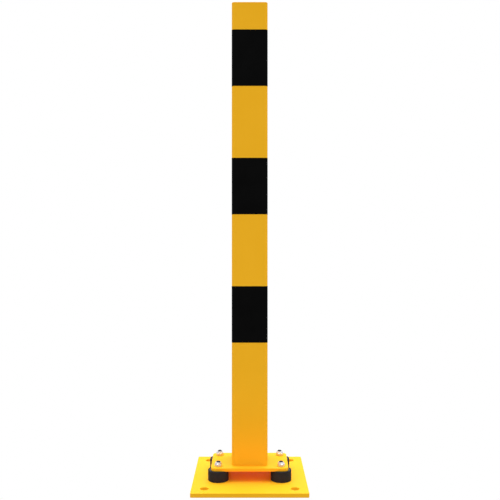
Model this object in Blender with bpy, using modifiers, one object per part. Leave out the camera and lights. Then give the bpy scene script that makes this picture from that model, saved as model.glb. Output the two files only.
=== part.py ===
"""Steel safety bollard: a banded square post on a flange plate, on four rubber buffers above a floor plate.

Metres, +Z up. The origin is the centre of the floor plate's underside. The flange's long side runs along X.
"""

import math

import bmesh
import bpy
from mathutils import Matrix, Vector

COLLECTION = "safety_bollard"
CUTTERS = "cutters"
CORNERS = {"front_left": (-1, -1), "front_right": (1, -1), "rear_left": (-1, 1), "rear_right": (1, 1)}

GAP = 0.00025  # left between pieces that touch
TURN_STEPS = 24  # facets round a small turned piece
ARC_STEPS = 6  # facets round the corner of a plate or tube
ROUND_STEPS = 2  # facets round the edge of a plate
OVERCUT = 0.0005  # how far a cutter stands out of what it cuts
WELD_DISTANCE = 1e-6
SHARP_ANGLE = math.radians(30)  # edges that turn by more stay sharp when shaded
FLAT_ANGLE = math.radians(1)
SQUARE_ANGLE = math.radians(60)

# Floor plate and its anchor holes
BASE_SIDE = 0.220
BASE_THICK = 0.008
BASE_CORNER = 0.003
EDGE_ROUND = 0.0005
ANCHOR_OFFSET = 0.085
ANCHOR_RADIUS = 0.008

# Rubber buffers, 40 x 20 with a steel disc bonded into each end
BUFFER_X = 0.061
BUFFER_Y = 0.035
BUFFER_RADIUS = 0.020
BUFFER_HEIGHT = 0.020
BUFFER_CHAMFER = 0.0008
DISC_RADIUS = 0.018
DISC_THICK = 0.0022
BOSS_RADIUS = 0.0070
BOSS_HEIGHT = 0.0074
BOSS_CHAMFER = 0.0005
HEAD_RADIUS = 0.0070
HEAD_HEIGHT = 0.0040
HEAD_TAPER = 0.0008

# Flange plate
FLANGE_X = 0.150
FLANGE_Y = 0.100
FLANGE_THICK = 0.006
FLANGE_CORNER = 0.010
DRAIN_RADIUS = 0.006

# Post and its bands
POST_SIDE = 0.070
POST_WALL = 0.003
POST_CORNER = 0.006
POST_LENGTH = 0.900
CAP_THICK = 0.003
CAP_ROUND = 0.0008
WELD_LEG = 0.002  # of the groove weld round the post's foot, ground flush
BAND_HEIGHT = 0.110
BAND_PITCH = 0.250
BAND_START = 0.240  # above the flange plate
BAND_THICK = 0.00025
BANDS = ("band_lower", "band_middle", "band_upper")

# M8 hardware
THREAD_RADIUS = 0.004
THREAD_BORE = 0.0043
THREAD_CHAMFER = 0.0008
HOLE_RADIUS = 0.0045
SCREW_HEAD_RADIUS = 0.0080
SCREW_TIP = 0.0142
SCREW_RIM = 0.0005
SOCKET_FLATS = 0.005
SOCKET_DEPTH = 0.0025

# Lock nuts: a hexagon, and a collar on top that holds a nylon ring under its turned-in lip
NUT_FLATS = 0.013
NUT_HEIGHT = 0.0078
HEXAGON_HEIGHT = 0.0056
NUT_FACE_RADIUS = 0.0062
NUT_BLANK_RADIUS = 0.0078
NUT_CHAMFER = math.radians(30)
NUT_MOUTH = 0.0005
COLLAR_RADIUS = 0.0058
COLLAR_ROUND = 0.0009
LIP_RADIUS = 0.0047
LIP_THICK = 0.0005
POCKET_RADIUS = 0.00525
POCKET_START = 0.0052
NUT_ANGLES = {"front_left": 14, "front_right": 41, "rear_left": 52, "rear_right": 7}
STUD_ABOVE_NUT = 0.0018

# Heights that follow from the stack
BUFFER_LOW = BASE_THICK + GAP
BUFFER_HIGH = BUFFER_LOW + BUFFER_HEIGHT
PIVOT_HEIGHT = (BUFFER_LOW + BUFFER_HIGH) / 2
FLANGE_LOW = BUFFER_HIGH + GAP
FLANGE_HIGH = FLANGE_LOW + FLANGE_THICK
POST_LOW = FLANGE_HIGH + GAP
POST_HIGH = POST_LOW + POST_LENGTH
NUT_LOW = FLANGE_HIGH + GAP
NUT_HIGH = NUT_LOW + NUT_HEIGHT
STUD_TOP = NUT_HIGH + STUD_ABOVE_NUT
SCREW_LOW = GAP
SCREW_RIM_TOP = SCREW_LOW + SCREW_RIM


# Scene, materials and placing


def clear_scene():
    for thing in list(bpy.data.objects):
        bpy.data.objects.remove(thing)


def new_collection(name):
    made = bpy.data.collections.new(name)
    bpy.context.scene.collection.children.link(made)
    return made


def finish(name, colour, roughness, metallic):
    """A plain Principled BSDF material."""
    made = bpy.data.materials.new(name)
    made.use_nodes = True
    shader = made.node_tree.nodes["Principled BSDF"]
    shader.inputs["Base Color"].default_value = (*colour, 1.0)
    shader.inputs["Roughness"].default_value = roughness
    shader.inputs["Metallic"].default_value = metallic
    return made


def add_empty(name, parent=None):
    """An empty on the tilt axes, which the pieces that tilt are parented to."""
    empty = bpy.data.objects.new(name, None)
    empty.location = (0, 0, 0) if parent else (0, 0, PIVOT_HEIGHT)
    empty.parent = parent
    bpy.data.collections[COLLECTION].objects.link(empty)
    return empty


def add_piece(name, mesh, material, place=(0, 0, 0), turn=0, pivot=None):
    """Puts a mesh in the scene as a named piece, with its place given in the object's own frame."""
    piece = bpy.data.objects.new(name, mesh)
    piece.location = place
    piece.rotation_euler.z = math.radians(turn)
    if not mesh.materials:
        mesh.materials.append(material)
    if pivot:
        piece.parent = pivot
        piece.matrix_parent_inverse = Matrix.Translation((0, 0, -PIVOT_HEIGHT))
    bpy.data.collections[COLLECTION].objects.link(piece)


def add_at_corners(name, mesh, material, pivot=None, turns=None):
    """One copy of the mesh on each buffer's axis."""
    for corner, (x, y) in CORNERS.items():
        place = (x * BUFFER_X, y * BUFFER_Y, 0)
        turn = turns[corner] if turns else 0
        add_piece(f"{name}_{corner}", mesh, material, place, turn, pivot)


# Shapes


def shade(mesh):
    mesh.shade_smooth()
    mesh.set_sharp_from_angle(angle=SHARP_ANGLE)
    return mesh


def evaluated_mesh(thing):
    """The mesh of a helper object as its modifiers make it, with the helper removed."""
    bpy.context.scene.collection.objects.link(thing)
    graph = bpy.context.evaluated_depsgraph_get()
    mesh = bpy.data.meshes.new_from_object(thing.evaluated_get(graph))
    bpy.data.objects.remove(thing)
    return mesh


def welded(mesh):
    """The mesh with its loose caps joined to its sides."""
    form = bmesh.new()
    form.from_mesh(mesh)
    bmesh.ops.remove_doubles(form, verts=form.verts, dist=WELD_DISTANCE)
    form.to_mesh(mesh)
    form.free()
    return mesh


def rounded_square(width, depth, radius):
    """Points of a rectangle with round corners, anticlockwise."""
    points = []
    for quarter, (x, y) in enumerate(((1, 1), (-1, 1), (-1, -1), (1, -1))):
        middle = Vector((x * (width / 2 - radius), y * (depth / 2 - radius), 0))
        for step in range(ARC_STEPS + 1):
            angle = math.radians(90) * (quarter + step / ARC_STEPS)
            points.append(middle + radius * Vector((math.cos(angle), math.sin(angle), 0)))
    return points


def outline_curve(name, outlines):
    """A flat curve with one closed spline for each outline."""
    curve = bpy.data.curves.new(name, "CURVE")
    curve.dimensions = "2D"
    curve.fill_mode = "BOTH"
    for outline in outlines:
        spline = curve.splines.new("POLY")
        spline.points.add(len(outline) - 1)
        spline.use_cyclic_u = True
        for point, place in zip(spline.points, outline):
            point.co = (*place, 1)
    return curve


def extruded(name, outlines, low, high):
    """A solid between two heights: the first outline's area, less the others'."""
    curve = outline_curve(name, outlines)
    curve.extrude = (high - low) / 2
    mesh = welded(evaluated_mesh(bpy.data.objects.new(name, curve)))
    mesh.transform(Matrix.Translation((0, 0, (low + high) / 2)))
    return mesh


def plate(name, outline, low, high, edge_round):
    """A flat plate with its square edges rounded. Edges between the facets of a round corner stay."""
    helper = bpy.data.objects.new(name, extruded(name, [outline], low, high))
    planar = helper.modifiers.new("flat_faces", "DECIMATE")
    planar.decimate_type = "DISSOLVE"
    planar.angle_limit = FLAT_ANGLE
    bevel = helper.modifiers.new("round", "BEVEL")
    bevel.width = edge_round
    bevel.segments = ROUND_STEPS
    bevel.angle_limit = SQUARE_ANGLE
    return evaluated_mesh(helper)


def turned(name, outline, ring=False):
    """Spins (radius, height) points about Z. They run down the outer side, and a ring's also close."""
    form = bmesh.new()
    dots = [form.verts.new((radius, 0, height)) for radius, height in outline]
    nexts = dots[1:] + dots[:1] if ring else dots[1:]
    for dot, following in zip(dots, nexts):
        form.edges.new((dot, following))
    mesh = bpy.data.meshes.new(name)
    form.to_mesh(mesh)
    form.free()
    helper = bpy.data.objects.new(name, mesh)
    screw = helper.modifiers.new("turn", "SCREW")
    screw.steps = TURN_STEPS
    screw.render_steps = TURN_STEPS
    screw.use_merge_vertices = True
    screw.merge_threshold = WELD_DISTANCE
    return evaluated_mesh(helper)


def carried_round(name, side, corner, section):
    """A closed section of (inwards, upwards) points carried round a round-cornered square."""
    outline = [Vector((*point, 0)) for point in section]
    guide = bpy.data.objects.new("section", outline_curve("section", [outline]))
    path = outline_curve(name, [rounded_square(side, side, corner)])
    path.fill_mode = "NONE"
    path.bevel_mode = "OBJECT"
    path.bevel_object = guide
    mesh = welded(evaluated_mesh(bpy.data.objects.new(name, path)))
    bpy.data.objects.remove(guide)
    return mesh


def six_sided(name, flats, low, high):
    """A hexagonal bar between two heights."""
    form = bmesh.new()
    radius = flats / 2 / math.cos(math.radians(30))
    middle = Matrix.Translation((0, 0, (low + high) / 2))
    bmesh.ops.create_cone(
        form, cap_ends=True, segments=6, radius1=radius, radius2=radius, depth=high - low, matrix=middle
    )
    mesh = bpy.data.meshes.new(name)
    form.to_mesh(mesh)
    form.free()
    return mesh


def add_cutter(name, mesh, place=(0, 0, 0)):
    cutter = bpy.data.objects.new(name, mesh)
    cutter.location = place
    cutter.hide_render = True
    cutter.display_type = "WIRE"
    bpy.data.collections[CUTTERS].objects.link(cutter)
    return cutter


def combined(mesh, cutters, operation):
    """The mesh cut by each cutter, or kept only where both are, as a new mesh."""
    helper = bpy.data.objects.new(mesh.name, mesh)
    for cutter in cutters:
        boolean = helper.modifiers.new(operation.lower(), "BOOLEAN")
        boolean.operation = operation
        boolean.object = cutter
    return evaluated_mesh(helper)


def drill(name, radius, places, low, high):
    """Cutters for round holes through a plate between two heights."""
    above, below = high + OVERCUT, low - OVERCUT
    mesh = turned(name, [(0, above), (radius, above), (radius, below), (0, below)])
    return [add_cutter(f"{name}_{number}", mesh, (*place, 0)) for number, place in enumerate(places)]


def corner_places(x, y):
    return [(side_x * x, side_y * y) for side_x, side_y in CORNERS.values()]


# Fixed to the ground


def floor_plate(paint):
    """The square plate with an anchor hole near each corner and a countersunk hole under each buffer."""
    outline = rounded_square(BASE_SIDE, BASE_SIDE, BASE_CORNER)
    mesh = plate("floor_plate", outline, 0, BASE_THICK, EDGE_ROUND)
    wide = SCREW_HEAD_RADIUS + math.sqrt(2) * GAP
    above, below = BASE_THICK + OVERCUT, -OVERCUT
    sink = turned(
        "countersink",
        [
            (0, above),
            (HOLE_RADIUS, above),
            (HOLE_RADIUS, SCREW_RIM_TOP + wide - HOLE_RADIUS),
            (wide, SCREW_RIM_TOP),
            (wide, below),
            (0, below),
        ],
    )
    anchors = corner_places(ANCHOR_OFFSET, ANCHOR_OFFSET)
    cutters = drill("anchor_drill", ANCHOR_RADIUS, anchors, 0, BASE_THICK)
    for number, place in enumerate(corner_places(BUFFER_X, BUFFER_Y)):
        cutters.append(add_cutter(f"countersink_{number}", sink, (*place, 0)))
    add_piece("floor_plate", shade(combined(mesh, cutters, "DIFFERENCE")), paint)


def countersunk_screws(zinc):
    """M8 countersunk socket screws, up through the floor plate into the buffers' lower discs."""
    mesh = turned(
        "countersunk_screw",
        [
            (0, SCREW_TIP),
            (THREAD_RADIUS - THREAD_CHAMFER, SCREW_TIP),
            (THREAD_RADIUS, SCREW_TIP - THREAD_CHAMFER),
            (THREAD_RADIUS, SCREW_RIM_TOP + SCREW_HEAD_RADIUS - THREAD_RADIUS),
            (SCREW_HEAD_RADIUS, SCREW_RIM_TOP),
            (SCREW_HEAD_RADIUS, SCREW_LOW),
            (0, SCREW_LOW),
        ],
    )
    socket = add_cutter("socket", six_sided("socket", SOCKET_FLATS, -OVERCUT, SCREW_LOW + SOCKET_DEPTH))
    mesh = combined(mesh, [socket], "DIFFERENCE")
    add_at_corners("countersunk_screw", shade(mesh), zinc)


def lower_discs(zinc):
    """The buffers' lower steel discs, each with a blind threaded boss that stands up into the rubber."""
    top = BUFFER_LOW + BOSS_HEIGHT
    seat = BUFFER_LOW + DISC_THICK
    mesh = turned(
        "lower_disc",
        [
            (0, top),
            (BOSS_RADIUS - BOSS_CHAMFER, top),
            (BOSS_RADIUS, top - BOSS_CHAMFER),
            (BOSS_RADIUS, seat),
            (DISC_RADIUS, seat),
            (DISC_RADIUS, BUFFER_LOW),
            (THREAD_BORE, BUFFER_LOW),
            (THREAD_BORE, SCREW_TIP + GAP),
            (0, SCREW_TIP + GAP),
        ],
    )
    add_at_corners("lower_disc", shade(mesh), zinc)


# The rubber between


def rubber_buffers(rubber, pivot):
    """The round rubber blocks, each hollowed at both ends for the steel disc bonded into it."""
    boss = BOSS_RADIUS + GAP
    head = HEAD_RADIUS + GAP
    disc = DISC_RADIUS + GAP
    mesh = turned(
        "rubber_buffer",
        [
            (0, BUFFER_HIGH - HEAD_HEIGHT - GAP),
            (head, BUFFER_HIGH - HEAD_HEIGHT - GAP),
            (head, BUFFER_HIGH - DISC_THICK - GAP),
            (disc, BUFFER_HIGH - DISC_THICK - GAP),
            (disc, BUFFER_HIGH),
            (BUFFER_RADIUS - BUFFER_CHAMFER, BUFFER_HIGH),
            (BUFFER_RADIUS, BUFFER_HIGH - BUFFER_CHAMFER),
            (BUFFER_RADIUS, BUFFER_LOW + BUFFER_CHAMFER),
            (BUFFER_RADIUS - BUFFER_CHAMFER, BUFFER_LOW),
            (disc, BUFFER_LOW),
            (disc, BUFFER_LOW + DISC_THICK + GAP),
            (boss, BUFFER_LOW + DISC_THICK + GAP),
            (boss, BUFFER_LOW + BOSS_HEIGHT + GAP),
            (0, BUFFER_LOW + BOSS_HEIGHT + GAP),
        ],
    )
    add_at_corners("rubber_buffer", shade(mesh), rubber, pivot)


# What tilts


def stud_discs(steel, pivot):
    """The buffers' upper steel discs, each with its M8 stud up through the flange plate."""
    seat = BUFFER_HIGH - DISC_THICK
    head = BUFFER_HIGH - HEAD_HEIGHT
    mesh = turned(
        "stud_disc",
        [
            (0, STUD_TOP),
            (THREAD_RADIUS - THREAD_CHAMFER, STUD_TOP),
            (THREAD_RADIUS, STUD_TOP - THREAD_CHAMFER),
            (THREAD_RADIUS, BUFFER_HIGH),
            (DISC_RADIUS, BUFFER_HIGH),
            (DISC_RADIUS, seat),
            (HEAD_RADIUS, seat),
            (HEAD_RADIUS - HEAD_TAPER, head),
            (0, head),
        ],
    )
    add_at_corners("stud_disc", shade(mesh), steel, pivot)


def flange_plate(paint, pivot):
    """The plate under the post, with a hole for each stud and a drain hole under the post."""
    outline = rounded_square(FLANGE_X, FLANGE_Y, FLANGE_CORNER)
    mesh = plate("flange_plate", outline, FLANGE_LOW, FLANGE_HIGH, EDGE_ROUND)
    cutters = drill("stud_drill", HOLE_RADIUS, corner_places(BUFFER_X, BUFFER_Y), FLANGE_LOW, FLANGE_HIGH)
    cutters += drill("drain_drill", DRAIN_RADIUS, [(0, 0)], FLANGE_LOW, FLANGE_HIGH)
    add_piece("flange_plate", shade(combined(mesh, cutters, "DIFFERENCE")), paint, pivot=pivot)


def lock_nuts(zinc, pivot):
    """M8 lock nuts: the hexagon's corners are chamfered, and the collar is hollowed for its nylon ring."""
    slope = (NUT_BLANK_RADIUS - NUT_FACE_RADIUS) * math.tan(NUT_CHAMFER)
    shoulder = NUT_LOW + HEXAGON_HEIGHT
    pocket_low, pocket_high = NUT_LOW + POCKET_START, NUT_HIGH - LIP_THICK
    bend = COLLAR_ROUND * (1 - math.cos(math.radians(45)))
    section = [
        (LIP_RADIUS, NUT_HIGH),
        (COLLAR_RADIUS - COLLAR_ROUND, NUT_HIGH),
        (COLLAR_RADIUS - bend, NUT_HIGH - bend),
        (COLLAR_RADIUS, NUT_HIGH - COLLAR_ROUND),
        (COLLAR_RADIUS, shoulder),
        (NUT_FACE_RADIUS, shoulder),
        (NUT_BLANK_RADIUS, shoulder - slope),
        (NUT_BLANK_RADIUS, NUT_LOW + slope),
        (NUT_FACE_RADIUS, NUT_LOW),
        (THREAD_BORE + NUT_MOUTH, NUT_LOW),
        (THREAD_BORE, NUT_LOW + NUT_MOUTH),
        (THREAD_BORE, pocket_low),
        (POCKET_RADIUS, pocket_low),
        (POCKET_RADIUS, pocket_high),
        (LIP_RADIUS, pocket_high),
    ]
    blank = add_cutter("nut_blank", turned("nut_blank", section, ring=True))
    bar = six_sided("nut", NUT_FLATS, NUT_LOW - OVERCUT, NUT_HIGH + OVERCUT)
    add_at_corners("lock_nut", shade(combined(bar, [blank], "INTERSECT")), zinc, pivot, NUT_ANGLES)


def nylon_rings(nylon, pivot):
    """The rings inside the lock nuts' collars that grip the studs' threads."""
    outer = POCKET_RADIUS - GAP
    low, high = NUT_LOW + POCKET_START + GAP, NUT_HIGH - LIP_THICK - GAP
    section = [(outer, high), (outer, low), (THREAD_BORE, low), (THREAD_BORE, high)]
    add_at_corners("nylon_ring", shade(turned("nylon_ring", section, ring=True)), nylon, pivot)


def post(paint, pivot):
    """The square tube, bevelled for the weld round its foot, and the plate that closes its top."""
    groove = WELD_LEG + math.sqrt(2) * GAP
    wall = [(groove, 0), (0, groove), (0, POST_LENGTH), (POST_WALL, POST_LENGTH), (POST_WALL, 0)]
    tube = carried_round("post_tube", POST_SIDE, POST_CORNER, wall)
    add_piece("post_tube", shade(tube), paint, (0, 0, POST_LOW), pivot=pivot)
    outline = rounded_square(POST_SIDE, POST_SIDE, POST_CORNER)
    low = POST_HIGH + GAP
    cap = plate("post_cap", outline, low, low + CAP_THICK, CAP_ROUND)
    add_piece("post_cap", shade(cap), paint, pivot=pivot)


def foot_weld(paint, pivot):
    """The groove weld between the post's foot and the flange plate, ground flush with the tube's faces."""
    mesh = carried_round("foot_weld", POST_SIDE, POST_CORNER, [(0, 0), (0, WELD_LEG), (WELD_LEG, 0)])
    add_piece("foot_weld", shade(mesh), paint, (0, 0, POST_LOW), pivot=pivot)


def bands(film, pivot):
    """Three bands of black film round the post."""
    inside = POST_SIDE + 2 * GAP
    outside = inside + 2 * BAND_THICK
    inner = rounded_square(inside, inside, POST_CORNER + GAP)
    outer = rounded_square(outside, outside, POST_CORNER + GAP + BAND_THICK)
    for number, name in enumerate(BANDS):
        low = FLANGE_HIGH + BAND_START + number * BAND_PITCH
        mesh = extruded(name, [outer, inner], low, low + BAND_HEIGHT)
        add_piece(name, shade(mesh), film, pivot=pivot)


def build():
    clear_scene()
    new_collection(COLLECTION)
    new_collection(CUTTERS)
    paint = finish("yellow_powder_coat", (0.76, 0.38, 0.02), 0.45, 0.0)
    film = finish("black_film", (0.004, 0.004, 0.004), 0.5, 0.0)
    rubber = finish("black_rubber", (0.03, 0.026, 0.023), 0.8, 0.0)
    zinc = finish("zinc_plated_steel", (0.62, 0.6, 0.62), 0.35, 1.0)
    steel = finish("dark_steel", (0.06, 0.055, 0.05), 0.5, 1.0)
    nylon = finish("white_nylon", (0.75, 0.75, 0.72), 0.5, 0.0)
    fore_aft = add_empty("fore_aft_pivot")
    sideways = add_empty("sideways_pivot", fore_aft)

    floor_plate(paint)
    countersunk_screws(zinc)
    lower_discs(zinc)
    rubber_buffers(rubber, fore_aft)
    stud_discs(steel, sideways)
    flange_plate(paint, sideways)
    lock_nuts(zinc, sideways)
    nylon_rings(nylon, sideways)
    post(paint, sideways)
    foot_weld(paint, sideways)
    bands(film, sideways)


build()
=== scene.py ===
import math

import bmesh
import bpy
from mathutils import Matrix, Vector


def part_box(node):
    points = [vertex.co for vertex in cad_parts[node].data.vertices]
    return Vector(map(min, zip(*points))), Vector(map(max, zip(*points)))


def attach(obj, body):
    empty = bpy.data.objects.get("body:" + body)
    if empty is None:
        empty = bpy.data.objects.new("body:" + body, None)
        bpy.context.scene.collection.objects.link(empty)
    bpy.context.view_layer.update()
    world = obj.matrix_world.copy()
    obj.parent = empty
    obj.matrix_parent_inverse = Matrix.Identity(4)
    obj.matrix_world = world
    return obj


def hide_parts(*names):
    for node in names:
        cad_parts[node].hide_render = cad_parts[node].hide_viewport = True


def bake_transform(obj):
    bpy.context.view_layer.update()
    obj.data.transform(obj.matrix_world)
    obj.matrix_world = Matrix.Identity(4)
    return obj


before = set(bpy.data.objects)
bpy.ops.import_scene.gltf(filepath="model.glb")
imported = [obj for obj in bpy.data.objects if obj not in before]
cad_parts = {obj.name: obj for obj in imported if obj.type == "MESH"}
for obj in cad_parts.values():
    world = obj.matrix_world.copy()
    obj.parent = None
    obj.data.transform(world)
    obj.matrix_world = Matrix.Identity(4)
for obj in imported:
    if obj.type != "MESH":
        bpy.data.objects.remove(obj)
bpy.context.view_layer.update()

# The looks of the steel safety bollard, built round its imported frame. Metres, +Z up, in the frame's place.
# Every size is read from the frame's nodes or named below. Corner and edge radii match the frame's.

CORNERS = ("front_left", "front_right", "rear_left", "rear_right")
BANDS = ("lower", "middle", "upper")
UP = Vector((0, 0, 1))

# How finely the surfaces are made
CORNER_STEPS = 14  # round the corner of a plate or tube
EDGE_STEPS = 4  # round a plate's edge
ROUND_STEPS = 72  # round a hole, washer or buffer
SHARP_ANGLE = math.radians(35)
QUARTER_TURN = math.radians(90)
WELD_DISTANCE = 1e-6
TOUCH = 0.00002  # left between visible pieces that rest on each other

# Plates
EDGE_ROUND = 0.0005
EDGE_FLAT = 0.0006  # flat margin inside a rounded edge
FLOOR_CORNER = 0.003
FLANGE_CORNER = 0.010
CAP_ROUND = 0.0008
ANCHOR_OFFSET = 0.085
ANCHOR_RADIUS = 0.008
STUD_HOLE_RADIUS = 0.0045
DRAIN_RADIUS = 0.006
SINK_RADIUS = 0.00835
SINK_RIM = 0.00075

# Post, welds and film
POST_CORNER = 0.006
CAP_SEAM_DEPTH = 0.0004
FOOT_SEAM_LIP = 0.00006  # its depth where it runs out into the tube
SEAM_SINK = 0.00008  # how far a ground weld stays below the tube's faces
SEAM_WANDER = 0.3  # how much each wave below varies that, as a share of it
SEAM_WAVES = ((3, 1), (8, 4))  # waves round the tube, and where each starts in radians
SEAM_PITCH = 0.0021  # of the last traces of the weld's ripples
SEAM_RIPPLE = 0.00003
SEAM_POINTS = 7
SEAM_SPACING = 0.0005
FILM_THICK = 0.00014
FILM_OVERLAP = 0.014
FILM_RAMP = 0.0015
FILM_SPACING = 0.0008

# Rubber buffers
RUBBER_ROUND = 0.0008
RUBBER_ROWS = 9
RECESS_DEPTH = 0.00225
CORE_RADIUS = 0.0075
PARTING_RIDGE = 0.00012
PARTING_SLOPE = 0.0006  # from a buffer's middle to the foot of its parting line's ridge
PARTING_FLAT = 0.00015  # from its middle to the edge of the ridge's top

# M8 studs
THREAD_PITCH = 0.00125
THREAD_DEPTH = 0.00077
THREAD_CREST = 1 / 16
THREAD_ROOT = 1 / 8
THREAD_ROW = 0.0001
THREAD_STEPS = 48
STUD_RADIUS = 0.004
STUD_CHAMFER = 0.0009
DISC_THICK = 0.0022
DISC_EDGE = 0.00022
HEAD_RADIUS = 0.0070
HEAD_HEIGHT = 0.0040
HEAD_CHAMFER = 0.0008

# M8 lock nuts and their nylon rings
NUT_STEPS = 96
NUT_ROWS = 8
HEXAGON_SIDE = math.radians(60)
NUT_FLATS = 0.013
HEXAGON_HEIGHT = 0.0056
NUT_FACE = 0.95  # the chamfer's circle on a nut's face, as a share of its width across flats
NUT_CHAMFER = math.radians(30)
NUT_MOUTH = 0.0005
NUT_BORE = 0.00404
NUT_CORNER = 0.985  # a nut's width across its blunted corners, as a share of that across sharp ones
NUT_TURNS = {"front_left": 14, "front_right": 41, "rear_left": 52, "rear_right": 7}  # in degrees
COLLAR_RADIUS = 0.0058
COLLAR_ROUND = 0.0009
COLLAR_ROOT = 0.0003
LIP_RADIUS = 0.0047
LIP_THICK = 0.0005
LIP_ROUND = 0.0001
POCKET_RADIUS = 0.00525
POCKET_START = 0.0052
RING_CROWN = 0.0002

# Materials
PATTERN_RANGE = (0.3, 0.7)  # the middle of a noise pattern, which is most of it

# Camera, at the viewing angle of the photograph
EYE = Vector((0, -1.380, 0.469))
LENS = 49.74
SHIFT_X = 0.0006
SHIFT_Y = -0.0144
CLIP_START = 0.01

# Studio light
SKY_SIDE = 0.670
SKY_BELOW = 0.715
KEY_STRENGTH = 4.90
KEY_SPREAD = 6  # the higher, the narrower the light from overhead
KEY_TILT = math.radians(13)  # from straight overhead towards the rear
KEY_TURN = math.radians(-8)  # of that tilt, towards the right
GLOW_GAP = 0.0004  # between a warm light and the plate next to it
UNDER_GLOW = 0.130  # brightness of the warm light under the flange plate
UNDER_COLOUR = (1.0, 0.02, 0.0)
UNDER_SIZE = (0.080, 0.060)
UNDER_FORWARD = 0.010  # from the middle of the flange plate towards the front
MARGIN_GLOW = 1.0  # brightness of each warm light on the floor plate's open margin
MARGIN_COLOUR = (1.0, 0.07, 0.0)
MARGIN_INSET = 0.003  # from the floor plate's edge and from the flange plate's
FLOOR_SIZE = 60


# Where things are in the frame


def floor_top():
    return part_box("floor_plate")[1].z


def flange_span():
    low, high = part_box("flange_plate")
    return low.z, high.z


def buffer_axis(corner):
    low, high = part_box(f"rubber_buffer_{corner}")
    return (low + high) / 2


def flat(point):
    return Vector((point.x, point.y))


# Outlines and walls


def rounded_rectangle(width, depth, corner):
    """Points of a rectangle with round corners, anticlockwise seen from above."""
    points = []
    for quarter, (x, y) in enumerate(((1, 1), (-1, 1), (-1, -1), (1, -1))):
        middle = Vector((x * (width / 2 - corner), y * (depth / 2 - corner)))
        for step in range(CORNER_STEPS + 1):
            angle = QUARTER_TURN * (quarter + step / CORNER_STEPS)
            points.append(middle + corner * Vector((math.cos(angle), math.sin(angle))))
    return points


def circle(radius, middle):
    points = []
    for step in range(ROUND_STEPS):
        turn = math.tau * step / ROUND_STEPS
        points.append(middle + radius * Vector((math.cos(turn), math.sin(turn))))
    return points


def rectangle_edge(width, depth, corner):
    """A plate's outer edge, as the outline at any inset from it."""
    return lambda inset: rounded_rectangle(width - 2 * inset, depth - 2 * inset, corner - inset)


def hole_edge(radius, middle):
    """A hole's edge, as the outline at any distance into the plate round it."""
    return lambda inset: circle(radius + inset, middle)


def quarter_round(radius):
    """(inset, rise) steps round a convex edge, from its flat face to its wall."""
    steps = []
    for step in range(EDGE_STEPS + 1):
        angle = QUARTER_TURN * step / EDGE_STEPS
        steps.append((radius * (1 - math.sin(angle)), radius * (1 - math.cos(angle))))
    return steps


def edge_arc(low, edge_round):
    """(inset, height) steps from a plate's flat underside up to the start of its wall."""
    steps = [(edge_round + EDGE_FLAT, low)]
    return steps + [(inset, low + rise) for inset, rise in quarter_round(edge_round)]


def wall(low, high, edge_round):
    """(inset, height) steps up a plate's side, with both edges rounded."""
    steps = edge_arc(low, edge_round)
    return steps + [(inset, low + high - height) for inset, height in reversed(steps)]


def countersunk_wall(low, high, edge_round):
    """(inset, height) steps up a hole that is countersunk from below."""
    wide = SINK_RADIUS - STUD_HOLE_RADIUS
    sunk = [(wide + EDGE_FLAT, low), (wide, low), (wide, low + SINK_RIM), (0, low + SINK_RIM + wide)]
    top = [(inset, low + high - height) for inset, height in reversed(edge_arc(low, edge_round))]
    return sunk + top


# Meshes


def finished(form, name):
    """The mesh of a bmesh form, with its faces pointing out and only its real corners sharp."""
    bmesh.ops.recalc_face_normals(form, faces=form.faces)
    mesh = bpy.data.meshes.new(name)
    form.to_mesh(mesh)
    form.free()
    mesh.shade_smooth()
    mesh.set_sharp_from_angle(angle=SHARP_ANGLE)
    return mesh


def join_rows(form, lower, upper):
    """A belt of four-sided faces between two closed rows of vertices."""
    for a, b, c, d in zip(lower, lower[1:] + lower[:1], upper[1:] + upper[:1], upper):
        form.faces.new((a, b, c, d))


def grid_mesh(name, rows, endless=False):
    """A closed mesh through rows of points. Its last row joins its first, or both ends are capped."""
    form = bmesh.new()
    dots = [[form.verts.new(point) for point in row] for row in rows]
    for lower, upper in zip(dots, dots[1:]):
        join_rows(form, lower, upper)
    if endless:
        join_rows(form, dots[-1], dots[0])
    else:
        form.faces.new(reversed(dots[0]))
        form.faces.new(dots[-1])
    return finished(form, name)


def plate_mesh(name, edges):
    """A flat plate from its edges, each given as an outline at any inset and the steps up its wall."""
    form = bmesh.new()
    rims = ([], [])
    for outline, steps in edges:
        dots = [[form.verts.new((*spot, height)) for spot in outline(inset)] for inset, height in steps]
        for lower, upper in zip(dots, dots[1:]):
            join_rows(form, lower, upper)
        for rim, row in zip(rims, (dots[0], dots[-1])):
            rim += [form.edges.get(pair) for pair in zip(row, row[1:] + row[:1])]
    for rim in rims:
        bmesh.ops.triangle_fill(form, edges=rim, use_beauty=True)
    return finished(form, name)


def turned_rows(profile, middle, steps=ROUND_STEPS):
    """Rows of points round an upright axis. A radius is a number, or a function of turn and height."""
    rows = []
    for radius, height in profile:
        row = []
        for step in range(steps):
            turn = math.tau * step / steps
            reach = radius(turn, height) if callable(radius) else radius
            x = middle.x + reach * math.cos(turn)
            y = middle.y + reach * math.sin(turn)
            row.append(Vector((x, y, height)))
        rows.append(row)
    return rows


def place_on_square(distance, half, corner):
    """A point round a round-cornered square from the middle of its rear, and the way out from there."""
    straight = 2 * (half - corner)
    arc = QUARTER_TURN * corner
    side, along = divmod(distance + straight / 2, straight + arc)
    if along < straight:
        out = Vector((0, 1, 0))
        spot = Vector((straight / 2 - along, half, 0))
    else:
        angle = (along - straight) / corner
        out = Vector((-math.sin(angle), math.cos(angle), 0))
        spot = Vector((-straight / 2, half - corner, 0)) + corner * out
    turn = Matrix.Rotation(QUARTER_TURN * side, 3, "Z")
    return turn @ spot, turn @ out


def distance_round(half, corner):
    return 8 * (half - corner) + math.tau * corner


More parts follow.
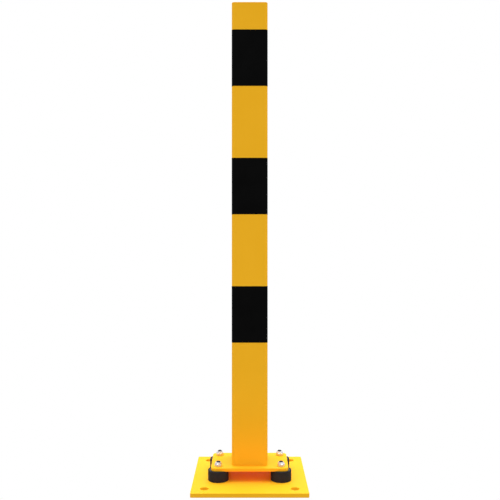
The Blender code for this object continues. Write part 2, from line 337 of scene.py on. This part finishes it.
def even_normals(thing):
    """Weights shading by the size of faces, so that flat faces look flat up to their rounded edges."""
    even = thing.modifiers.new("even_normals", "WEIGHTED_NORMAL")
    even.keep_sharp = True
    even.weight = 100


def add_piece(name, mesh, material, node=None, body=None):
    """Puts a mesh in the scene as a named piece, standing for a frame node and riding on a body."""
    piece = bpy.data.objects.new(name, mesh)
    bpy.context.scene.collection.objects.link(piece)
    mesh.materials.append(material)
    even_normals(piece)
    if node:
        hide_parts(node)
    if body:
        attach(piece, body)
    return piece


# Materials


def add_node(tree, kind, **values):
    node = tree.nodes.new(kind)
    for name, value in values.items():
        node.inputs[name.replace("_", " ")].default_value = value
    return node


def stretched_place(tree, stretch):
    """The piece's own coordinates in metres, scaled along each axis."""
    place = tree.nodes.new("ShaderNodeTexCoord")
    mapping = tree.nodes.new("ShaderNodeMapping")
    mapping.inputs["Scale"].default_value = stretch
    tree.links.new(place.outputs["Object"], mapping.inputs["Vector"])
    return mapping.outputs["Vector"]


def noise(tree, cells, stretch=(1, 1, 1), detail=2.0):
    """A noise pattern with a number of cells to the metre."""
    texture = add_node(tree, "ShaderNodeTexNoise", Scale=cells, Detail=detail)
    tree.links.new(stretched_place(tree, stretch), texture.inputs["Vector"])
    return texture.outputs["Fac"]


def between(tree, pattern, low, high):
    """A pattern's middle range spread over two values."""
    spread = tree.nodes.new("ShaderNodeMapRange")
    for name, value in zip(("From Min", "From Max", "To Min", "To Max"), (*PATTERN_RANGE, low, high)):
        spread.inputs[name].default_value = value
    tree.links.new(pattern, spread.inputs["Value"])
    return spread.outputs["Result"]


def mixed_colour(tree, pattern, first, second):
    mix = tree.nodes.new("ShaderNodeMix")
    mix.data_type = "RGBA"
    mix.inputs["A"].default_value = (*first, 1)
    mix.inputs["B"].default_value = (*second, 1)
    tree.links.new(between(tree, pattern, 0, 1), mix.inputs["Factor"])
    return mix.outputs["Result"]


def add_relief(tree, shader, depth, cells, stretch=(1, 1, 1), detail=2.0):
    """Adds a noise pattern of this depth in metres to the shader's relief."""
    pattern = noise(tree, cells, stretch, detail)
    bump = add_node(tree, "ShaderNodeBump", Strength=1.0, Distance=depth)
    tree.links.new(pattern, bump.inputs["Height"])
    if shader.inputs["Normal"].is_linked:
        tree.links.new(shader.inputs["Normal"].links[0].from_socket, bump.inputs["Normal"])
    tree.links.new(bump.outputs["Normal"], shader.inputs["Normal"])


def surface(name, colours, colour_cells, roughness, roughness_cells, metallic=0.0, specular=0.5):
    """A material whose colour and roughness each vary between two values, with its tree and its shader."""
    made = bpy.data.materials.new(name)
    made.use_nodes = True
    tree = made.node_tree
    shader = tree.nodes["Principled BSDF"]
    shader.inputs["Metallic"].default_value = metallic
    shader.inputs["Specular IOR Level"].default_value = specular
    tree.links.new(mixed_colour(tree, noise(tree, colour_cells), *colours), shader.inputs["Base Color"])
    tree.links.new(between(tree, noise(tree, roughness_cells), *roughness), shader.inputs["Roughness"])
    return made, tree, shader


def yellow_powder_coat():
    """Baked powder: an even colour with a soft orange peel of about 2 mm and a finer grain."""
    made, tree, shader = surface(
        "yellow_powder_coat",
        colours=((0.963, 0.487, 0.0165), (0.985, 0.504, 0.0195)),
        colour_cells=12,
        roughness=(0.40, 0.50),
        roughness_cells=160,
        specular=0.03,
    )
    add_relief(tree, shader, depth=0.00008, cells=430)
    add_relief(tree, shader, depth=0.00001, cells=1900)
    return made


def black_film():
    """Satin film with faint upright drawing lines."""
    made, tree, shader = surface(
        "black_film",
        colours=((0.0030, 0.0030, 0.0030), (0.0040, 0.0040, 0.0040)),
        colour_cells=25,
        roughness=(0.42, 0.56),
        roughness_cells=120,
        specular=0.012,
    )
    add_relief(tree, shader, depth=0.000004, cells=700, stretch=(1, 1, 0.04))
    add_relief(tree, shader, depth=0.00001, cells=90)
    return made


def black_rubber():
    """Moulded rubber: dull, with a fine grain and faint rings from the mould."""
    made, tree, shader = surface(
        "black_rubber",
        colours=((0.0122, 0.0150, 0.0210), (0.0172, 0.0200, 0.0260)),
        colour_cells=90,
        roughness=(0.66, 0.84),
        roughness_cells=300,
        specular=0.2,
    )
    add_relief(tree, shader, depth=0.00004, cells=1600, detail=4.0)
    add_relief(tree, shader, depth=0.00001, cells=1100, stretch=(0.03, 0.03, 1))
    return made


def zinc_plating():
    """Bright zinc with the passivation's faint blue and straw tints and fine turning marks."""
    made, tree, shader = surface(
        "zinc_plating",
        colours=((0.66, 0.66, 0.73), (0.73, 0.71, 0.72)),
        colour_cells=140,
        roughness=(0.28, 0.42),
        roughness_cells=500,
        metallic=0.9,
    )
    add_relief(tree, shader, depth=0.000008, cells=2200, stretch=(0.15, 0.15, 1))
    return made


def white_nylon():
    """Milky nylon with a slight unevenness from the mould."""
    made, tree, shader = surface(
        "white_nylon",
        colours=((0.70, 0.70, 0.67), (0.78, 0.78, 0.75)),
        colour_cells=300,
        roughness=(0.38, 0.50),
        roughness_cells=900,
    )
    shader.inputs["Subsurface Weight"].default_value = 0.1
    shader.inputs["Subsurface Scale"].default_value = 0.001
    add_relief(tree, shader, depth=0.000006, cells=2400)
    return made


def dark_stud_steel():
    """Blackened steel with a duller, browner bloom."""
    made, tree, shader = surface(
        "dark_stud_steel",
        colours=((0.022, 0.020, 0.017), (0.040, 0.034, 0.027)),
        colour_cells=200,
        roughness=(0.38, 0.60),
        roughness_cells=700,
        metallic=0.4,
    )
    add_relief(tree, shader, depth=0.00001, cells=2500)
    return made


# Smoothing for the frame nodes that stay


def smooth_frame_nodes(names):
    """Joins a frame node's loose faces as it is drawn, with round faces smooth. Its mesh isn't touched."""
    group = bpy.data.node_groups.new("smooth_frame_node", "GeometryNodeTree")
    group.interface.new_socket("Geometry", in_out="INPUT", socket_type="NodeSocketGeometry")
    group.interface.new_socket("Geometry", in_out="OUTPUT", socket_type="NodeSocketGeometry")
    ends = group.nodes.new("NodeGroupInput"), group.nodes.new("NodeGroupOutput")
    plain = group.nodes.new("GeometryNodeRemoveAttribute")
    plain.inputs["Name"].default_value = "custom_normal"
    weld = group.nodes.new("GeometryNodeMergeByDistance")
    weld.inputs["Distance"].default_value = WELD_DISTANCE
    smooth = group.nodes.new("GeometryNodeSetShadeSmooth")
    crease = group.nodes.new("GeometryNodeSetShadeSmooth")
    crease.domain = "EDGE"
    angle = group.nodes.new("GeometryNodeInputMeshEdgeAngle")
    blunt = group.nodes.new("FunctionNodeCompare")
    blunt.operation = "LESS_THAN"
    blunt.inputs[1].default_value = SHARP_ANGLE
    chain = [ends[0], plain, weld, smooth, crease, ends[1]]
    for before, after in zip(chain, chain[1:]):
        group.links.new(before.outputs[0], after.inputs[0])
    group.links.new(angle.outputs["Unsigned Angle"], blunt.inputs[0])
    group.links.new(blunt.outputs[0], crease.inputs["Shade Smooth"])
    for name in names:
        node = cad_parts[name]
        node.modifiers.new("smooth", "NODES").node_group = group
        even_normals(node)


def paint_frame_nodes(names, material):
    for name in names:
        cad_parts[name].material_slots[0].material = material


# Plates


def base_plate(paint):
    """The floor plate, with four anchor holes and four holes countersunk from below."""
    low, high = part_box("floor_plate")
    side = high.x - low.x
    edges = [(rectangle_edge(side, side, FLOOR_CORNER), wall(low.z, high.z, EDGE_ROUND))]
    for x in (-1, 1):
        for y in (-1, 1):
            spot = ANCHOR_OFFSET * Vector((x, y))
            edges.append((hole_edge(ANCHOR_RADIUS, spot), wall(low.z, high.z, EDGE_ROUND)))
    for corner in CORNERS:
        hole = hole_edge(STUD_HOLE_RADIUS, flat(buffer_axis(corner)))
        edges.append((hole, countersunk_wall(low.z, high.z, EDGE_ROUND)))
    mesh = plate_mesh("base_plate", edges)
    add_piece("base_plate", mesh, paint, "floor_plate", "floor_base")


def post_flange(paint):
    """The plate under the post, with a hole for each stud and a drain hole under the tube."""
    low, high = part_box("flange_plate")
    steps = wall(low.z, high.z, EDGE_ROUND)
    edges = [(rectangle_edge(high.x - low.x, high.y - low.y, FLANGE_CORNER), steps)]
    edges.append((hole_edge(DRAIN_RADIUS, Vector((0, 0))), steps))
    for corner in CORNERS:
        edges.append((hole_edge(STUD_HOLE_RADIUS, flat(buffer_axis(corner))), steps))
    mesh = plate_mesh("post_flange", edges)
    add_piece("post_flange", mesh, paint, "flange_plate", "post")


def top_plate(paint):
    """The plate that closes the tube."""
    low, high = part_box("post_cap")
    edge = rectangle_edge(high.x - low.x, high.y - low.y, POST_CORNER)
    mesh = plate_mesh("top_plate", [(edge, wall(low.z, high.z, CAP_ROUND))])
    add_piece("top_plate", mesh, paint, "post_cap", "post")


# Welds and film round the post


def seam_sink(distance, length):
    """How far a ground weld's face lies inside the tube's, where it is this far round."""
    turn = math.tau * distance / length
    wander = sum(math.sin(waves * turn + start) for waves, start in SEAM_WAVES)
    ripple = math.cos(round(length / SEAM_PITCH) * turn)
    return SEAM_SINK * (1 + SEAM_WANDER * wander) + SEAM_RIPPLE * ripple


def ground_seam(name, paint, low, high, depths, node=None):
    """A weld round the tube, ground flush with its faces. Its depths are those of its foot and its top."""
    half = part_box("post_tube")[1].x
    length = distance_round(half, POST_CORNER)
    count = round(length / SEAM_SPACING)
    rows = []
    for number in range(count):
        distance = length * number / count
        spot, out = place_on_square(distance, half, POST_CORNER)
        row = [spot - depths[0] * out + low * UP]
        for step in range(SEAM_POINTS):
            share = step / (SEAM_POINTS - 1)
            sink = TOUCH + seam_sink(distance, length) * math.sin(math.pi * share)
            row.append(spot - sink * out + (low + (high - low) * share) * UP)
        row.append(spot - depths[1] * out + high * UP)
        rows.append(row)
    mesh = grid_mesh(name, rows, endless=True)
    add_piece(name, mesh, paint, node, "post")


def seams(paint):
    """The weld in the groove round the post's foot, and the one between the tube and its top plate."""
    tube_low, tube_high = (corner.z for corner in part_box("post_tube"))
    weld_low, weld_high = (corner.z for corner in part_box("foot_weld"))
    foot = flange_span()[1]
    groove = weld_high - weld_low + math.sqrt(2) * (tube_low - foot) - TOUCH
    depths = (groove, FOOT_SEAM_LIP)
    ground_seam("foot_seam", paint, foot + TOUCH, tube_low + groove, depths, "foot_weld")
    cap_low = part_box("post_cap")[0].z
    depths = (CAP_SEAM_DEPTH, CAP_SEAM_DEPTH)
    ground_seam("top_seam", paint, tube_high + TOUCH, cap_low + CAP_ROUND, depths)


def film_wrap(band, film):
    """A strip of film round the tube, whose end overlaps its start in the middle of the rear."""
    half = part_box("post_tube")[1].x
    low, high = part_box(f"band_{band}")
    length = distance_round(half, POST_CORNER)
    count = round((length + FILM_OVERLAP) / FILM_SPACING)
    rows = []
    for number in range(count + 1):
        distance = (length + FILM_OVERLAP) * number / count
        climb = min(1, max(0, (distance - length + FILM_RAMP) / FILM_RAMP))
        inner = TOUCH + (FILM_THICK + TOUCH) * climb * climb * (3 - 2 * climb)
        outer = inner + FILM_THICK
        spot, out = place_on_square(distance, half, POST_CORNER)
        section = ((inner, low.z), (outer, low.z), (outer, high.z), (inner, high.z))
        rows.append([spot + reach * out + height * UP for reach, height in section])
    mesh = grid_mesh(f"film_{band}", rows)
    add_piece(f"film_{band}", mesh, film, f"band_{band}", "post")


# Rubber buffers


def half_buffer_profile(bottom, middle, radius):
    """(radius, height) steps round the section of a buffer's lower half, with a recess for its disc."""
    steps = [(radius - inset, bottom + rise) for inset, rise in quarter_round(RUBBER_ROUND)]
    start = bottom + RUBBER_ROUND
    end = middle - PARTING_SLOPE
    recess = bottom + RECESS_DEPTH + TOUCH
    shares = [row / RUBBER_ROWS for row in range(RUBBER_ROWS + 1)]
    steps += [(radius, start + (end - start) * share) for share in shares[1:]]
    steps.append((radius + PARTING_RIDGE, middle - PARTING_FLAT))
    steps.append((radius + PARTING_RIDGE, middle))
    steps += [(CORE_RADIUS, middle + (recess - middle) * share) for share in shares]
    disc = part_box("lower_disc_front_left")
    disc_radius = (disc[1].x - disc[0].x) / 2 + TOUCH
    return steps + [(disc_radius, recess), (disc_radius, bottom)]


def buffer_halves(corner, rubber):
    """A buffer's rubber in two halves that meet at the tilt axes."""
    node = f"rubber_buffer_{corner}"
    low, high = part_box(node)
    middle = buffer_axis(corner)
    bottom, top = floor_top() + TOUCH, flange_span()[0] - TOUCH
    lower = half_buffer_profile(bottom, middle.z, (high.x - low.x) / 2)
    upper = [(radius, bottom + top - height) for radius, height in lower]
    disc_top = bottom + RECESS_DEPTH
    disc_low = top - RECESS_DEPTH
    halves = (
        ("lower", lower, "floor_base", "buffers", disc_top, middle.z),
        ("upper", upper, "buffers", "post", middle.z, disc_low),
    )
    for half, profile, first, second, start, end in halves:
        name = f"{node}_{half}"
        mesh = grid_mesh(name, turned_rows(profile, middle), endless=True)
        piece = add_piece(name, mesh, rubber, node)
        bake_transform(piece)


# Studs and lock nuts


def threaded(base, top):
    """The radius of the M8 thread at a turn and height, with its tip chamfered."""

    def radius(turn, height):
        climb = (height - base) / THREAD_PITCH - turn / math.tau
        away = abs(climb - round(climb))
        fall = (away - THREAD_CREST) / (0.5 - THREAD_ROOT - THREAD_CREST)
        thread = STUD_RADIUS - THREAD_DEPTH * min(1, max(0, fall))
        return min(thread, STUD_RADIUS - STUD_CHAMFER + top - height)

    return radius


def stud(corner, steel):
    """The buffer's upper disc, with its head below and its threaded stud above."""
    low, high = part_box(f"stud_disc_{corner}")
    middle = buffer_axis(corner)
    disc = (high.x - low.x) / 2
    seat = low.z + HEAD_HEIGHT - DISC_THICK
    disc_top = low.z + HEAD_HEIGHT
    profile = [
        (HEAD_RADIUS - HEAD_CHAMFER, low.z),
        (HEAD_RADIUS, low.z + HEAD_CHAMFER),
        (HEAD_RADIUS, seat),
        (disc - DISC_EDGE, seat),
        (disc, seat + DISC_EDGE),
        (disc, disc_top - DISC_EDGE),
        (disc - DISC_EDGE, disc_top),
        (STUD_RADIUS - THREAD_DEPTH, disc_top),
    ]
    radius = threaded(disc_top, high.z)
    count = round((high.z - disc_top) / THREAD_ROW)
    start = disc_top + THREAD_PITCH
    profile.append((STUD_RADIUS - THREAD_DEPTH, start - THREAD_ROW))
    profile += [(radius, start + (high.z - start) * row / count) for row in range(count + 1)]
    mesh = grid_mesh(f"threaded_stud_{corner}", turned_rows(profile, middle, THREAD_STEPS))
    add_piece(f"threaded_stud_{corner}", mesh, steel, f"stud_disc_{corner}", "post")


def nut_radius(turn, low, high):
    """The radius of a chamfered hexagon nut at any angle and height."""
    turn = math.radians(turn)
    corner = NUT_FLATS / 2 / math.cos(HEXAGON_SIDE / 2) * NUT_CORNER
    face = NUT_FACE * NUT_FLATS / 2

    def radius(angle, height):
        from_flat = (angle - turn) % HEXAGON_SIDE - HEXAGON_SIDE / 2
        edge = min(height - low, high - height)
        return min(NUT_FLATS / 2 / math.cos(from_flat), corner, face + edge / math.tan(NUT_CHAMFER))

    return radius


def lock_nut(corner, zinc):
    """An M8 lock nut: a hexagon with a collar on top, whose lip is turned in over a nylon ring."""
    node = f"lock_nut_{corner}"
    low = flange_span()[1] + TOUCH
    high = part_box(node)[1].z
    shoulder = low + HEXAGON_HEIGHT
    radius = nut_radius(NUT_TURNS[corner], low, shoulder)
    chamfer = NUT_FLATS / 2 * (1 / math.cos(HEXAGON_SIDE / 2) - NUT_FACE) * math.tan(NUT_CHAMFER)
    foot = [low + chamfer * row / NUT_ROWS for row in range(NUT_ROWS + 1)]
    heights = foot + [low + shoulder - height for height in reversed(foot)]
    profile = [(NUT_BORE + NUT_MOUTH, low)] + [(radius, height) for height in heights]
    profile += [(COLLAR_RADIUS + COLLAR_ROOT, shoulder), (COLLAR_RADIUS, shoulder + COLLAR_ROOT)]
    collar = [(COLLAR_RADIUS - inset, high - rise) for inset, rise in quarter_round(COLLAR_ROUND)]
    profile += reversed(collar)
    pocket_low = low + POCKET_START
    pocket_high = high - LIP_THICK
    profile += [
        (LIP_RADIUS + LIP_ROUND, high),
        (LIP_RADIUS, high - LIP_ROUND),
        (LIP_RADIUS, pocket_high),
        (POCKET_RADIUS, pocket_high),
        (POCKET_RADIUS, pocket_low),
        (NUT_BORE, pocket_low),
        (NUT_BORE, low + NUT_MOUTH),
    ]
    rows = turned_rows(profile, buffer_axis(corner), NUT_STEPS)
    mesh = grid_mesh(f"hexagon_lock_nut_{corner}", rows, endless=True)
    add_piece(f"hexagon_lock_nut_{corner}", mesh, zinc, node, "post")


def nylon_grip(corner, nylon):
    """The nylon ring in a lock nut's collar, pressed up a little round the stud."""
    low = flange_span()[1] + TOUCH + POCKET_START + TOUCH
    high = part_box(f"lock_nut_{corner}")[1].z - LIP_THICK - TOUCH
    profile = [
        (POCKET_RADIUS - TOUCH, low),
        (POCKET_RADIUS - TOUCH, high),
        (LIP_RADIUS - TOUCH, high),
        ((LIP_RADIUS + NUT_BORE) / 2, high + RING_CROWN),
        (NUT_BORE, high + RING_CROWN),
        (NUT_BORE, low),
    ]
    mesh = grid_mesh(f"nylon_grip_{corner}", turned_rows(profile, buffer_axis(corner)), endless=True)
    add_piece(f"nylon_grip_{corner}", mesh, nylon, f"nylon_ring_{corner}", "post")


# Stage


def white_floor():
    """A plain floor that reads as white, gives the object no light and isn't seen from below."""
    made = bpy.data.materials.new("floor_white")
    made.use_nodes = True
    tree = made.node_tree
    tree.nodes.remove(tree.nodes["Principled BSDF"])
    side = tree.nodes.new("ShaderNodeNewGeometry")
    glow = add_node(tree, "ShaderNodeEmission", Strength=1.0)
    clear = tree.nodes.new("ShaderNodeBsdfTransparent")
    mix = tree.nodes.new("ShaderNodeMixShader")
    tree.links.new(side.outputs["Backfacing"], mix.inputs["Fac"])
    tree.links.new(glow.outputs["Emission"], mix.inputs[1])
    tree.links.new(clear.outputs["BSDF"], mix.inputs[2])
    tree.links.new(mix.outputs["Shader"], tree.nodes["Material Output"].inputs["Surface"])
    return made


def stage_floor():
    form = bmesh.new()
    bmesh.ops.create_grid(form, x_segments=1, y_segments=1, size=FLOOR_SIZE / 2)
    mesh = bpy.data.meshes.new("stage_floor")
    form.to_mesh(mesh)
    form.free()
    floor = bpy.data.objects.new("stage_floor", mesh)
    floor.location.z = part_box("floor_plate")[0].z - TOUCH
    mesh.materials.append(white_floor())
    bpy.context.scene.collection.objects.link(floor)
    floor.visible_diffuse = False
    floor.visible_glossy = False
    floor.visible_shadow = False


def studio_light():
    """A white surround to the eye, which lights the object softly, most from overhead."""
    world = bpy.data.worlds.new("studio")
    bpy.context.scene.world = world
    world.use_nodes = True
    tree = world.node_tree
    way = tree.nodes.new("ShaderNodeTexCoord").outputs["Generated"]
    parts = tree.nodes.new("ShaderNodeSeparateXYZ")
    tree.links.new(way, parts.inputs["Vector"])
    key_way = Matrix.Rotation(KEY_TURN, 3, "Z") @ Matrix.Rotation(-KEY_TILT, 3, "X") @ UP
    towards = tree.nodes.new("ShaderNodeVectorMath")
    towards.operation = "DOT_PRODUCT"
    towards.inputs[1].default_value = key_way
    tree.links.new(way, towards.inputs[0])

    def step(operation, first, second):
        made = tree.nodes.new("ShaderNodeMath")
        made.operation = operation
        for socket, value in zip(made.inputs, (first, second)):
            if isinstance(value, (int, float)):
                socket.default_value = value
            else:
                tree.links.new(value, socket)
        return made.outputs["Value"]

    above = step("GREATER_THAN", parts.outputs["Z"], 0)
    key = step("POWER", step("MAXIMUM", towards.outputs["Value"], 0), KEY_SPREAD)
    sky = step("ADD", step("MULTIPLY", key, KEY_STRENGTH), SKY_SIDE - SKY_BELOW)
    strength = step("ADD", step("MULTIPLY", sky, above), SKY_BELOW)
    eye = tree.nodes.new("ShaderNodeLightPath").outputs["Is Camera Ray"]
    seen = step("ADD", step("MULTIPLY", step("SUBTRACT", 1, eye), strength), eye)
    tree.links.new(seen, tree.nodes["Background"].inputs["Strength"])
    tree.nodes["Background"].inputs["Color"].default_value = (1, 1, 1, 1)


def warm_light(name, glow, colour, size, place, facing):
    """A warm light that neither the camera nor shiny surfaces see."""
    light = bpy.data.lights.new(name, "AREA")
    light.shape = "RECTANGLE"
    light.size, light.size_y = size
    light.energy = glow * math.pi * size[0] * size[1]
    light.color = colour
    lamp = bpy.data.objects.new(name, light)
    lamp.location = place
    lamp.rotation_euler = (facing, 0, 0)
    lamp.visible_camera = False
    lamp.visible_glossy = False
    bpy.context.scene.collection.objects.link(lamp)


def paint_glow():
    """Light that painted faces pass on more times than a render follows it."""
    under = (0, -UNDER_FORWARD, flange_span()[0] - GLOW_GAP)
    warm_light("under_glow", UNDER_GLOW, UNDER_COLOUR, UNDER_SIZE, under, 0)
    floor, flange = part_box("floor_plate")[1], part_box("flange_plate")[1]
    size = flat(floor - flange) - 2 * MARGIN_INSET * Vector((1, 1))
    place = flat(floor + flange) / 2
    height = floor_top() + GLOW_GAP
    margins = (
        ("left_glow", (size.x, 2 * flange.y), (-place.x, 0, height)),
        ("front_glow", (2 * flange.x, size.y), (0, -place.y, height)),
        ("right_glow", (size.x, 2 * flange.y), (place.x, 0, height)),
        ("rear_glow", (2 * flange.x, size.y), (0, place.y, height)),
    )
    for name, extent, spot in margins:
        warm_light(name, MARGIN_GLOW, MARGIN_COLOUR, extent, spot, 2 * QUARTER_TURN)


def camera():
    lens = bpy.data.cameras.new("camera")
    lens.lens = LENS
    lens.shift_x = SHIFT_X
    lens.shift_y = SHIFT_Y
    lens.clip_start = CLIP_START
    lens.clip_end = 2 * FLOOR_SIZE
    eye = bpy.data.objects.new("camera", lens)
    eye.location = EYE
    eye.rotation_euler = (QUARTER_TURN, 0, 0)
    bpy.context.scene.collection.objects.link(eye)
    bpy.context.scene.camera = eye
    bpy.context.scene.view_settings.view_transform = "Standard"


def build():
    paint = yellow_powder_coat()
    film = black_film()
    rubber = black_rubber()
    zinc = zinc_plating()
    steel = dark_stud_steel()
    nylon = white_nylon()
    hidden = [f"{part}_{corner}" for part in ("lower_disc", "countersunk_screw") for corner in CORNERS]
    smooth_frame_nodes(["post_tube"] + hidden)
    paint_frame_nodes(["post_tube"], paint)
    paint_frame_nodes(hidden, zinc)
    base_plate(paint)
    post_flange(paint)
    top_plate(paint)
    seams(paint)
    for band in BANDS:
        film_wrap(band, film)
    for corner in CORNERS:
        buffer_halves(corner, rubber)
        stud(corner, steel)
        lock_nut(corner, zinc)
        nylon_grip(corner, nylon)
    stage_floor()
    studio_light()
    paint_glow()
    camera()


build()
